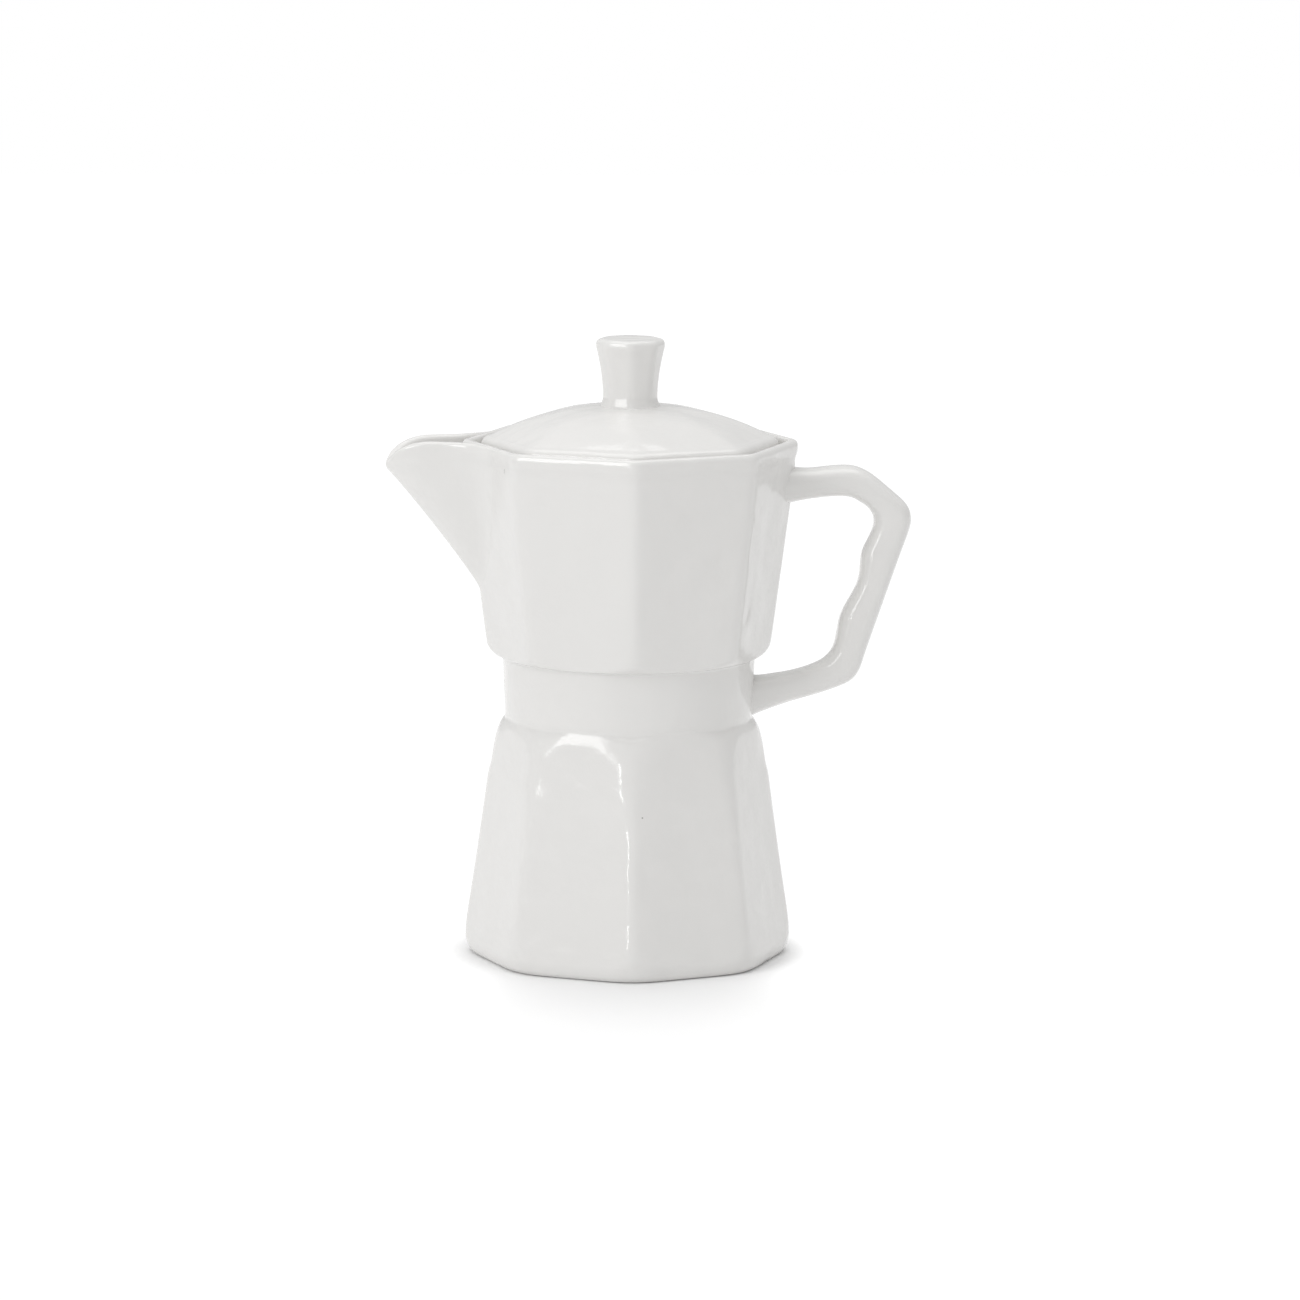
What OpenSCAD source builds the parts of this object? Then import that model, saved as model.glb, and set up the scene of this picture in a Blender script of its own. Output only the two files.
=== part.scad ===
// Glazed porcelain serving pot in the form of an eight-sided stove-top coffee maker.
// Lengths are in millimetres. The origin is the centre of the foot, Z is up,
// the spout points along -X and the handle along +X.
// The corners of the octagon lie on the X and Y axes. An octagon's size is given from
// its centre to its sharp corner, and the corners are then rounded by corner_round.

/* [Lower section] */
// Centre to corner at the widest level
base_r = 53; // [50:0.5:58]
// Height of the widest level above the ground
base_h = 4.5; // [3:0.5:7]
// How far the wall tucks in from the widest level to the ground
foot_tuck = 1.8; // [1:0.1:2.4]
// Height at which the lower section meets the waist
lower_h = 76.8; // [68:0.1:86]
// Centre to corner where the facets would meet the waist
shoulder_r = 43.2; // [42:0.1:44]
// Height of the round shoulder between the facets and the waist
shoulder_h = 15.5; // [14:0.5:24]

/* [Waist] */
// Radius of the round waist at its lower end
waist_r = 39.8; // [38.6:0.1:40.4]
// How much wider the waist is at its upper end
waist_flare = 0.9; // [0:0.1:1.4]
// Height of the waist
waist_h = 21; // [16:0.1:26]

/* [Upper section] */
// Centre to corner at the bottom of the upper section
upper_r = 45.9; // [44.8:0.1:48]
// Centre to corner at the rim
rim_r = 54.9; // [53:0.1:59]
// Height from the waist to the top of the rim
upper_h = 69.7; // [62:0.1:80]
// Height over which the round underside curves out to the facets
bowl_h = 9.2; // [7:0.1:12]

/* [Walls] */
// Thickness of the cast wall
wall = 3.2; // [2.6:0.1:4]
// Rounding of the octagon's upright edges
corner_round = 5.5; // [4.5:0.1:8]
// Thickness of the floor
floor_t = 4; // [3:0.1:6]
// Width of the unglazed foot ring
foot_w = 6; // [4:0.1:8]
// Depth of the hollow inside the foot ring
foot_d = 2.5; // [1.5:0.1:3.5]

/* [Rim and lid seat] */
// Thickness of the rim around the lid
rim_wall = 3.4; // [3:0.1:4]
// Rounding of the rim's outer edge
rim_round = 2.4; // [1.5:0.1:2.8]
// Depth of the lid seat below the rim
seat_drop = 4.6; // [4:0.1:6]
// Width of the ledge that carries the lid
seat_w = 4.8; // [4:0.1:6]
// Thickness of the ledge
seat_t = 3; // [2.5:0.1:4]

/* [Lid] */
// Gap all round between the lid's edge and the rim
lid_gap = 2.2; // [1:0.1:2.6]
// Height of the lid's rounded edge
lid_edge = 4.2; // [3.6:0.1:5]
// Height of the dome above the edge
dome_h = 11.2; // [9:0.1:14]
// Thickness of the lid
lid_t = 3; // [2.6:0.1:4]
// Gap between the lid's locating collar and the ledge
collar_gap = 0.8; // [0.5:0.1:1.5]
// Height of the locating collar
collar_h = 6; // [4:0.5:9]
// Space left under the lid's edge, so that glaze doesn't bind on the ledge
lid_lift = 0.1; // [0.05:0.05:0.3]

/* [Knob] */
// Height of the knob
knob_h = 21.6; // [16:0.1:26]
// Centre to corner at the knob's waist
knob_neck_r = 9.3; // [8:0.1:10]
// Centre to corner at the knob's top
knob_top_r = 11.9; // [10.5:0.1:14]
// Rounding of the knob's upright edges
knob_round = 5; // [3.5:0.1:6]

/* [Spout] */
// How far the spout's tip stands out from the rim's corner
spout_reach = 23.2; // [18:0.1:28]
// How far below the rim the spout's keel leaves the wall
spout_drop = 47.5; // [42:0.5:54]
// How far below the rim the tip of the lip is
tip_drop = 9; // [7:0.1:12]
// Length of the lip that curves down to the tip
lip_len = 8; // [6:0.1:11]
// Half of the spout's width, seen from above
spout_half_w = 11.3; // [9:0.1:13]
// Length over which the spout's nose widens
nose_len = 8; // [6:0.1:10]
// Thickness of the spout's sides
spout_wall = 3; // [2.4:0.1:3.6]
// Width of the pouring hole
throat_w = 12; // [8:0.5:14]
// Height of the pouring hole
throat_h = 26; // [20:1:30]

/* [Handle] */
// How far the outer bend of the handle stands out from the rim's corner
handle_reach = 32.5; // [27:0.1:38]
// From the rim down to the middle of the upper arm
arm_drop = 13.1; // [12:0.1:16]
// From the rim down to the outer bend
elbow_drop = 23.8; // [21:0.1:28]
// Slope of the short length between the upper arm and the outer bend
knuckle_slope = 40; // [32:1:50]
// From the waist's lower end up to the middle of the lower arm
arm_rise = 7.2; // [6:0.1:9]
// Slope of the lower arm
arm_slope = 16; // [8:1:22]
// Lean of the grip from upright
grip_lean = 19; // [13:1:22]
// Thickness of the handle seen from the side
handle_t = 10.4; // [8.5:0.1:11]
// Width of the handle seen from the end
handle_w = 13; // [10:0.5:15]
// Bend radius where the upper arm turns down
knuckle_r = 10; // [7:0.5:12]
// Bend radius at the top of the grip
elbow_r = 10; // [8:0.5:12]
// Bend radius at the foot of the grip
heel_r = 12; // [9:0.5:14]
// Depth of the finger hollows
finger_d = 0.9; // [0:0.1:1.4]

/* [Joints in the clay] */
// How deep the spout and the handle are let into the wall
lute_d = 1; // [0.6:0.1:1.4]

/* [Hidden] */
glaze = "#f2f1ee";
sides = 8;
// Half of the angle between two corners
half_side = 180 / sides;
to_flat = cos(half_side);
// Points on each rounded corner
corner_n = 5;
waist_top = lower_h + waist_h;
rim_h = waist_top + upper_h;
waist_top_r = waist_r + waist_flare;
seat_h = rim_h - seat_drop;
inner_round = max(corner_round - wall, 1.5);
// Centre to corner of the lid recess, the ledge's inner edge, the lid and its collar
recess_r = rim_r - rim_wall / to_flat;
ledge_r = recess_r - seat_w / to_flat;
lid_r = recess_r - lid_gap / to_flat;
collar_r = ledge_r - collar_gap / to_flat;
lid_h = seat_h + lid_lift;
edge_top = lid_h + lid_edge;
dome_top = edge_top + dome_h;
// Rounding inside the pot between the wall and the floor
floor_round = 3;
// How far the round shoulder and the round underside of the upper section spread
shoulder_spread = 6.5;
bowl_spread = 1.6;
// How far the recess widens in the rounded top of the rim
recess_flare = 0.9;
// Height of clay left between the pouring hole and the ledge
hole_gap = 4;
// Rounding of the lid's edge
edge_round = 1.6;
// Heights of the knob's root and of its rounded crown
knob_root_h = 2.5;
knob_crown_h = 2.4;
eps = 0.01;

// Corner size of the facets at height z
function lower_r(z) = base_r + (shoulder_r - base_r) * (z - base_h) / (lower_h - base_h);
function upper_r_at(z) = upper_r + (rim_r - upper_r) * (z - waist_top) / upper_h;

// Closed outline of an octagon with rounded corners, counter-clockwise from the +X corner
function octagon(r, round, z) = [
    for (side = [0 : sides - 1], i = [0 : corner_n - 1])
        let (corner = side * 360 / sides,
             turn = corner + half_side * (2 * i / (corner_n - 1) - 1),
             middle = r - round / to_flat)
        [middle * cos(corner) + round * cos(turn), middle * sin(corner) + round * sin(turn), z]];

// Quadratic curve from a to c, pulled towards b
function curve(a, b, c, n = 8) = [
    for (i = [0 : n]) let (t = i / n) (1 - t) * (1 - t) * a + 2 * t * (1 - t) * b + t * t * c];

// Solid through a stack of outlines with equally many points each. The first point of an
// outline sees all the others.
module loft(rings) {
    n = len(rings[0]);
    last = len(rings) - 1;
    polyhedron(
        points = [for (ring = rings) each ring],
        faces = concat(
            [[for (i = [0 : n - 1]) i]],
            [[for (i = [0 : n - 1]) last * n + (n - i) % n]],
            [for (k = [0 : last - 1], i = [0 : n - 1])
                [k * n + i, (k + 1) * n + i, (k + 1) * n + (i + 1) % n, k * n + (i + 1) % n]]),
        convexity = 8);
}

// The faceted lower section with its round shoulder, moved in by inset for the cavity
module lower_solid(inset = 0) {
    round = inset > 0 ? inner_round : corner_round;
    shift = inset / to_flat;
    floor_h = foot_d + floor_t;
    floor_r = lower_r(floor_h + floor_round) - shift;
    bottom = inset > 0
        ? curve([floor_r - floor_round, floor_h], [floor_r, floor_h], [floor_r, floor_h + floor_round], 3)
        : curve([base_r - foot_tuck, 0], [base_r, base_h / 4], [base_r, base_h], 3);
    top_r = waist_r - inset;
    shoulder = curve([top_r, lower_h],
                     [top_r + shoulder_spread * 0.77, lower_h - shoulder_h * 0.33],
                     [top_r + shoulder_spread, lower_h - shoulder_h]);
    outside = base_r + wall;
    intersection() {
        loft(concat([for (p = bottom) octagon(p[0], round, p[1])],
                    [octagon(lower_r(lower_h) - shift, round, lower_h)]));
        rotate_extrude($fn = 96)
            polygon(concat([[0, lower_h]], shoulder, [[outside, base_h], [outside, -wall], [0, -wall]]));
    }
}

module waist_solid(inset = 0) {
    overlap = shoulder_h / 4;
    translate([0, 0, lower_h - overlap])
        cylinder(h = waist_h + overlap + bowl_h / 2, r1 = waist_r - inset,
                 r2 = waist_top_r - inset, $fn = 96);
}

// The faceted upper section with its round underside
module upper_solid(inset = 0) {
    rise = inset > 0 ? wall : 0;
    round = inset > 0 ? inner_round : corner_round;
    shift = inset / to_flat;
    low = waist_top + rise;
    bowl = curve([waist_top_r - inset, low],
                 [upper_r - shift + bowl_spread * 0.4, low + bowl_h * 0.09],
                 [upper_r - shift + bowl_spread, low + bowl_h]);
    // the ledge's underside slopes, so that it can be cast
    ledge_low = seat_h - seat_t;
    top = inset > 0
        ? [octagon(upper_r_at(ledge_low - hole_gap) - shift, round, ledge_low - hole_gap),
           octagon(ledge_r, round, ledge_low),
           octagon(ledge_r, round, seat_h + eps)]
        : [octagon(upper_r_at(rim_h - rim_round), round, rim_h - rim_round),
           octagon(rim_r - rim_round * 0.3, round, rim_h - rim_round * 0.3),
           octagon(rim_r - rim_round * 0.8, round, rim_h)];
    intersection() {
        loft(concat([octagon(upper_r_at(waist_top) - shift, round, waist_top)], top));
        outside = rim_r + wall;
        rotate_extrude($fn = 96)
            polygon(concat([[0, low]], bowl,
                           [[outside, rim_h], [outside, rim_h + wall], [0, rim_h + wall]]));
    }
}

module pot_cavity() {
    lower_solid(wall);
    waist_solid(wall);
    upper_solid(wall);
    // recess for the lid
    loft([octagon(recess_r, inner_round, seat_h),
          octagon(recess_r, inner_round, rim_h - rim_round * 0.8),
          octagon(recess_r + recess_flare, inner_round, rim_h + eps)]);
}

// Upright slot through the corner behind the spout
module throat() {
    straight = throat_h - throat_w;
    middle = seat_h - seat_t - hole_gap - throat_h / 2;
    translate([-rim_r - wall, 0, middle]) rotate([90, 0, 90]) linear_extrude(rim_r / 3) {
        translate([0, straight / 2]) circle(d = throat_w, $fn = 32);
        translate([0, -straight / 2]) circle(d = throat_w, $fn = 32);
        square([throat_w, straight], center = true);
    }
}

module pot_body() {
    color(glaze) difference() {
        union() {
            lower_solid();
            waist_solid();
            upper_solid();
        }
        pot_cavity();
        throat();
        // hollow inside the foot ring
        ring_r = base_r - foot_tuck - foot_w / to_flat;
        translate([0, 0, -eps])
            loft([octagon(ring_r, inner_round, 0),
                  octagon(ring_r - foot_d / 2, inner_round, foot_d + eps)]);
    }
}

// Half width of the spout at a distance behind its nose
function nose_half(back, half_w) = half_w * (1 - exp(-pow(back / nose_len, 0.85)));

// Level outline of the spout at height z, from one side round the nose to the other side
function spout_outline(nose, half_w, z) =
    let (steps = 8,
         side = [for (i = [steps : -1 : 1])
             let (back = rim_r * pow(i / steps, 2)) [nose + back, nose_half(back, half_w), z]])
    concat(side, [[nose, 0, z]], [for (i = [len(side) - 1 : -1 : 0]) [side[i][0], -side[i][1], z]]);

// Nose of the spout at height z, on a straight keel from the wall to the tip
function spout_nose(z) =
    let (keel_z = rim_h - spout_drop,
         keel_x = upper_r_at(keel_z),
         tip_z = rim_h - tip_drop,
         tip_x = rim_r + spout_reach)
    -(keel_x + (tip_x - keel_x) * (z - keel_z) / (tip_z - keel_z));

module spout() {
    low = rim_h - spout_drop - tip_drop;
    high = rim_h + spout_wall;
    tip = [spout_nose(rim_h - tip_drop), rim_h - tip_drop];
    // the glazed edge ends just below the rim
    level = rim_h - 0.2;
    lip = curve(tip - [0.5, 0.5], [tip[0] - 0.6, rim_h - tip_drop * 0.3], [tip[0] + lip_len, level]);
    outside = tip[0] - spout_reach;
    over = rim_h + tip_drop;
    color(glaze) difference() {
        loft([for (z = [low, high]) spout_outline(spout_nose(z), spout_half_w, z)]);
        // trough
        loft([for (z = [low - wall, high + wall])
            spout_outline(spout_nose(z) + spout_wall * 1.2, spout_half_w - spout_wall, z)]);
        // seat on the pot's corner
        loft([for (z = [low - wall, high + wall]) octagon(upper_r_at(z) - lute_d, corner_round, z)]);
        // lip that curves down to the tip
        rotate([90, 0, 0]) linear_extrude(4 * rim_r, center = true)
            polygon(concat(lip, [[0, level], [0, over], [outside, over], [outside, tip[1] - 0.5]]));
    }
}

// Corners of the handle's path in the XZ plane, and its headings in degrees: the upper arm
// runs level, then the path turns down to the outer bend, along the grip and back in
arm_z = rim_h - arm_drop;
root_z = lower_h + arm_rise;
knuckle_heading = -knuckle_slope;
grip_heading = -90 - grip_lean;
arm_heading = -180 + arm_slope;
elbow = [rim_r + handle_reach, rim_h - elbow_drop];
knuckle = [elbow[0] - (arm_z - elbow[1]) / tan(knuckle_slope), arm_z];
// where the grip's line meets the lower arm's line
heel_len = ((elbow[1] - root_z) - (elbow[0] - waist_r) * tan(arm_slope))
    / (cos(grip_lean) - sin(grip_lean) * tan(arm_slope));
heel = elbow + heel_len * [cos(grip_heading), sin(grip_heading)];

function along(from, heading, len) = from + len * [cos(heading), sin(heading)];

// Bend at a corner point, as steps from one heading to the next
function bend(corner, r, from, to, n) =
    let (start = along(corner, from, -r * tan((from - to) / 2)),
         centre = along(start, from - 90, r))
    [for (i = [0 : n]) let (h = from + (to - from) * i / n) concat(along(centre, h + 90, r), [h])];

function straight(a, b, heading, n) = [for (i = [1 : n - 1]) concat(a + (b - a) * i / n, [heading])];

function xz(step) = [step[0], step[1]];
function last(steps) = steps[len(steps) - 1];

module handle() {
    knuckle_bend = bend(knuckle, knuckle_r, 0, knuckle_heading, 6);
    elbow_bend = bend(elbow, elbow_r, knuckle_heading, grip_heading, 9);
    heel_bend = bend(heel, heel_r, grip_heading, arm_heading, 8);
    top_root = [upper_r_at(arm_z) - lute_d, arm_z];
    low_root = [waist_r - lute_d, root_z];
    grip_top = xz(last(elbow_bend));
    grip_end = xz(heel_bend[0]);
    path = concat(
        [concat(top_root, [0])],
        straight(top_root, xz(knuckle_bend[0]), 0, 6), knuckle_bend,
        straight(xz(last(knuckle_bend)), xz(elbow_bend[0]), knuckle_heading, 3), elbow_bend,
        straight(grip_top, grip_end, grip_heading, 20), heel_bend,
        straight(xz(last(heel_bend)), low_root, arm_heading, 6),
        [concat(low_root, [arm_heading])]);
    grip_len = norm(grip_end - grip_top);
    // squarish oval section; the inner side swells between two finger hollows
    section_n = 20;
    function oval(c, half) = sign(c) * pow(abs(c), 0.85) * half;
    rings = [for (step = path)
        let (down = (xz(step) - grip_top) * [cos(grip_heading), sin(grip_heading)] / grip_len,
             on_grip = step[2] == grip_heading ? sin(180 * max(0, min(1, down))) : 0,
             swell = -finger_d * on_grip * cos(720 * down),
             side = [cos(step[2] + 90), sin(step[2] + 90)])
        [for (i = [0 : section_n - 1])
            let (turn = -i * 360 / section_n,
                 u = oval(cos(turn), handle_t / 2 + (cos(turn) < 0 ? swell : 0)),
                 v = oval(sin(turn), handle_w / 2))
            [step[0] + u * side[0], v, step[1] + u * side[1]]]];
    // both ends follow the wall that they are joined to
    top_ring = [for (p = rings[0])
        [upper_r_at(p[2]) - abs(p[1]) * tan(half_side) - lute_d, p[1], p[2]]];
    low_ring = [for (p = last(rings))
        let (x = sqrt(waist_r * waist_r - p[1] * p[1]) - lute_d)
        [x, p[1], p[2] + (x - p[0]) * tan(arm_slope)]];
    inner_rings = [for (i = [len(rings) - 2 : -1 : 1]) rings[i]];
    color(glaze) loft(concat([low_ring], inner_rings, [top_ring]));
}

module lid() {
    hollow_r = collar_r - lid_t / to_flat;
    dome = curve([lid_r - edge_round * 1.4, edge_top], [lid_r * 0.585, dome_top - dome_h / 14],
                 [knob_neck_r * 1.15, dome_top], 9);
    hollow = curve([knob_neck_r, dome_top - lid_t], [lid_r / 2, dome_top - lid_t],
                   [hollow_r, edge_top - lid_t], 6);
    function level(p) = octagon(p[0], min(corner_round, p[0] * 0.6), p[1]);
    color(glaze) loft(concat(
        [for (p = hollow) level(p)],
        [level([hollow_r, lid_h - collar_h]),
         level([collar_r, lid_h - collar_h]),
         level([collar_r, lid_h]),
         level([lid_r - edge_round * 0.4, lid_h]),
         level([lid_r, lid_h + edge_round * 0.4]),
         level([lid_r, edge_top - edge_round]),
         level([lid_r - edge_round * 0.4, edge_top - edge_round * 0.3])],
        [for (p = dome) level(p)]));
}

module lid_knob() {
    root_top = dome_top + knob_root_h;
    top = dome_top + knob_h;
    crown_low = top - knob_crown_h;
    root = curve([knob_neck_r * 1.14, dome_top], [knob_neck_r * 0.97, dome_top + 0.4],
                 [knob_neck_r, root_top], 4);
    side = curve([knob_neck_r, root_top], [knob_neck_r * 1.03, dome_top + knob_h / 2],
                 [knob_top_r, crown_low], 5);
    crown = curve([knob_top_r, crown_low], [knob_top_r * 1.02, top - 0.3],
                  [knob_top_r - 1.4 * knob_crown_h, top], 5);
    outline = concat(root, [for (i = [1 : 5]) side[i]], [for (i = [1 : 5]) crown[i]]);
    color(glaze) loft([for (p = outline) octagon(p[0], knob_round, p[1])]);
}

pot_body();
spout();
handle();
lid();
lid_knob();
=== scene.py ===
"""Glazed porcelain serving pot in the form of an eight-sided stove-top coffee maker, on a white
table in soft daylight. The pieces' sizes are in millimetres, and their meshes, the materials,
the lamps and the camera in metres."""

import bpy
import numpy as np
from mathutils import Matrix


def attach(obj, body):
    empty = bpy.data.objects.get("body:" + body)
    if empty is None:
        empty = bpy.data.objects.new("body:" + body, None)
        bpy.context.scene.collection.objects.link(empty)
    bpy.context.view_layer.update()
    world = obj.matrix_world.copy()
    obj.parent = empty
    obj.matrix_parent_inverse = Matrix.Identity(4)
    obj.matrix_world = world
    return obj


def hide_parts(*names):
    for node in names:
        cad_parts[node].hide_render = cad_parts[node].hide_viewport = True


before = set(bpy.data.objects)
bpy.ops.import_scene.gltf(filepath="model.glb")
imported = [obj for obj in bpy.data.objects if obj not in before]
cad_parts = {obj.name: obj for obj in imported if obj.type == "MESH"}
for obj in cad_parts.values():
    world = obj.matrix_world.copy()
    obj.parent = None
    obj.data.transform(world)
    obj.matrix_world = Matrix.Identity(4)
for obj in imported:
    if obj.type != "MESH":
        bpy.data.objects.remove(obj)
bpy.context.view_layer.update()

# ---------------------------------------------------------------------------------------------
# White gloss glaze, the finish of everything but the foot. Hard porcelain is dipped in a clear
# feldspar glaze and fired, which leaves a wet-looking, faintly wavy skin about 0.3 mm thick.


def colour(hex_code):
    """sRGB hex value as a linear colour: c / 12.92 when dark, else ((c + 0.055) / 1.055) ^ 2.4."""
    c = np.array([int(hex_code[i : i + 2], 16) for i in (1, 3, 5)]) / 255
    linear = np.where(c <= 0.04045, c / 12.92, ((c + 0.055) / 1.055) ** 2.4)
    return (*linear.tolist(), 1.0)


def add_node(material, kind, settings=(), links=()):
    """Adds a node: settings are (property or socket, value), links are (socket, from output)."""
    tree = material.node_tree
    node = tree.nodes.new(kind)
    for name, value in settings:
        if isinstance(name, str) and hasattr(node, name):
            setattr(node, name, value)
        else:
            node.inputs[name].default_value = value
    for name, output in links:
        tree.links.new(output, node.inputs[name])
    return node


def new_material(name):
    """A material whose node tree is still empty."""
    material = bpy.data.materials.new(name)
    material.use_nodes = True
    material.node_tree.nodes.clear()
    return material


GLAZE_WHITE, PINHOLE_GREY = "#e8e7e5", "#8f8c86"

glaze = new_material("white_gloss_porcelain_glaze")
place = add_node(glaze, "ShaderNodeTexCoord")
# the glaze pools and thins over about 15 mm, which makes reflections of lamps ragged
pooling = add_node(glaze, "ShaderNodeTexNoise",
                   [("Scale", 68.0), ("Detail", 1.0), ("Roughness", 0.4)],
                   [("Vector", place.outputs["Object"])])
# orange peel of the fired glaze, 3 mm from crest to crest
peel = add_node(glaze, "ShaderNodeTexNoise",
                [("Scale", 300.0), ("Detail", 2.0), ("Roughness", 0.5)],
                [("Vector", place.outputs["Object"])])
wave_bump = add_node(glaze, "ShaderNodeBump", [("Strength", 1.0), ("Distance", 0.001)],
                     [("Height", pooling.outputs["Fac"])])
peel_bump = add_node(glaze, "ShaderNodeBump", [("Strength", 1.0), ("Distance", 0.00008)],
                     [("Height", peel.outputs["Fac"]), ("Normal", wave_bump.outputs["Normal"])])
# pinholes of 0.5 mm burnt into the glaze, one to each 22 mm or so, and only a third of them open
cells = add_node(glaze, "ShaderNodeTexVoronoi", [("Scale", 46.0)],
                 [("Vector", place.outputs["Object"])])
chosen = add_node(glaze, "ShaderNodeMath", [("operation", "GREATER_THAN"), (1, 0.66)],
                  [(0, cells.outputs["Color"])])
pinhole = add_node(glaze, "ShaderNodeMapRange",
                   [("From Min", 0.018), ("From Max", 0.008), ("To Min", 0.0), ("To Max", 1.0)],
                   [("Value", cells.outputs["Distance"])])
speck = add_node(glaze, "ShaderNodeMath", [("operation", "MULTIPLY")],
                 [(0, pinhole.outputs["Result"]), (1, chosen.outputs["Value"])])
tint = add_node(glaze, "ShaderNodeMix",
                [("data_type", "RGBA"), (6, colour(GLAZE_WHITE)), (7, colour(PINHOLE_GREY))],
                [(0, speck.outputs["Value"])])
# a fired glaze is as glossy as glass
skin = add_node(glaze, "ShaderNodeBsdfPrincipled", [("Roughness", 0.12), ("IOR", 1.5)],
                [("Base Color", tint.outputs[2]), ("Normal", peel_bump.outputs["Normal"])])
add_node(glaze, "ShaderNodeOutputMaterial", (), [("Surface", skin.outputs["BSDF"])])

# ---------------------------------------------------------------------------------------------
# The cast pot: a faceted base with a foot ring, a round waist and a faceted upper section whose
# rim has a sunk seat for the lid. It is slip-cast hollow in a plaster mould, 3 mm thick.

# an octagon's corner size is from its middle to a corner, and TO_FLAT makes that the distance to
# a side; EASING is how far an upright edge is rounded, and REACH how far two surfaces blend
TO_FLAT = np.cos(np.pi / 8)
BASE_CORNER, BASE_TUCK, BASE_HEIGHT, BASE_LEAN, BASE_HOLLOW = 53.9, 1.8, 4.5, 0.171, 0.0005
FOOT_WIDTH, FOOT_HOLLOW, FOOT_TURN = 6.0, 2.5, 5.5
LOWER_HEIGHT, SHOULDER_HEIGHT, SHOULDER_SPREAD, SHOULDER_REACH = 77.0, 14.4, 6.4, 6.0
CREASE_STEP, CREASE_ROUND, CREASE_LIFT, CREASE_REACH = 0.35, 1.4, 0.8, 0.6
WAIST_RADIUS, WAIST_TOP_RADIUS, WAIST_TOP, FOLD_HEIGHT = 39.8, 40.7, 97.8, 1.2
UPPER_CORNER, BOWL_HEIGHT, BOWL_SPREAD, BOWL_REACH = 45.9, 9.2, 1.7, 1.4
RIDGE_EASING, FOOT_EASING, SHOULDER_EASING = 2.6, 8.0, 2.8
UPPER_EASING, INNER_EASING = 3.0, 2.0
RIM_CORNER, RIM_HEIGHT, RIM_WALL, RIM_ROUND = 54.9, 167.5, 3.4, 3.4
NECK_DEPTH, NECK_HEIGHT, NECK_SPREAD = 0.45, 161, 1.8
SEAT_CORNER, SEAT_HEIGHT, SEAT_WIDTH, SEAT_THICK = RIM_CORNER - RIM_WALL / TO_FLAT, 162.9, 4.8, 3.0
WALL, FLOOR_HEIGHT, FLOOR_ROUND = 3.2, 6.5, 4
HOLE_LOW, HOLE_HIGH, HOLE_WIDTH, HOLE_MARGIN = 129.9, 155.9, 12.0, 6
FREE = 90.0  # a round limit larger than any radius, which is no limit


def smooth_least(a, b, reach):
    """min(a, b) - reach * h^3 / 6 with h = 1 - |a - b| / reach, where h is above 0."""
    h = np.clip(1 - np.abs(a - b) / reach, 0, None)
    return np.minimum(a, b) - reach * h**3 / 6


def smooth_most(a, b, reach):
    """max(a, b) + reach * h^3 / 6, with the same h."""
    return -smooth_least(-a, -b, reach)


def octagon(angle, corner, easing):
    """Polar radius of an octagon with a corner on the X axis: each of the two nearest sides is
    apothem / cos(angle from the side's middle), and their smooth least rounds the corner."""
    turn = (angle + np.pi / 8) % (np.pi / 4) - np.pi / 8
    apothem = corner * TO_FLAT
    left = apothem / np.cos(np.pi / 8 - turn)
    right = apothem / np.cos(np.pi / 8 + turn)
    return smooth_least(left, right, easing)


def curve(a, b, c, count):
    """Points of (1-t)^2 a + 2t(1-t) b + t^2 c, without the last one."""
    t = (np.arange(count) / count)[:, None]
    return (1 - t) ** 2 * np.array(a) + 2 * t * (1 - t) * np.array(b) + t**2 * np.array(c)


def line(a, b, count):
    """Evenly spaced points from a towards b, without b."""
    t = (np.arange(count) / count)[:, None]
    return (1 - t) * np.array(a) + t * np.array(b)


def lower_corner(z):
    """Corner size of the base: corner - lean * up + hollow * up^2, so that it leans in by 17% at
    the foot and less towards its top."""
    up = z - BASE_HEIGHT
    return BASE_CORNER - BASE_LEAN * up + BASE_HOLLOW * up**2


def upper_corner(z):
    """Corner size of the upper section: straight from waist to rim, less the neck that sets off
    the rolled rim, depth * exp(-((z - height) / spread)^2)."""
    straight = (RIM_CORNER - UPPER_CORNER) * (z - WAIST_TOP) / (RIM_HEIGHT - WAIST_TOP)
    return UPPER_CORNER + straight - NECK_DEPTH * np.exp(-(((z - NECK_HEIGHT) / NECK_SPREAD) ** 2))


def make_piece(name, points, faces, material, body):
    """A smooth mesh from points in millimetres and faces, given one finish, riding on a body."""
    mesh = bpy.data.meshes.new(name)
    mesh.from_pydata((np.asarray(points) / 1000).tolist(), [], faces)
    mesh.polygons.foreach_set("use_smooth", np.full(len(mesh.polygons), True))
    mesh.materials.append(material)
    mesh.update()
    piece = bpy.data.objects.new(name, mesh)
    bpy.context.scene.collection.objects.link(piece)
    if body:
        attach(piece, body)
    return piece


def grid_faces(rows, columns):
    """Quads of a grid of rows by columns, whose last column joins the first."""
    number = np.arange(rows * columns).reshape(rows, columns)
    number = np.concatenate([number, number[:, :1]], axis=1)
    quads = [number[:-1, :-1], number[:-1, 1:], number[1:, 1:], number[1:, :-1]]
    return np.stack([q.ravel() for q in quads], axis=1).tolist()


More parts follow.
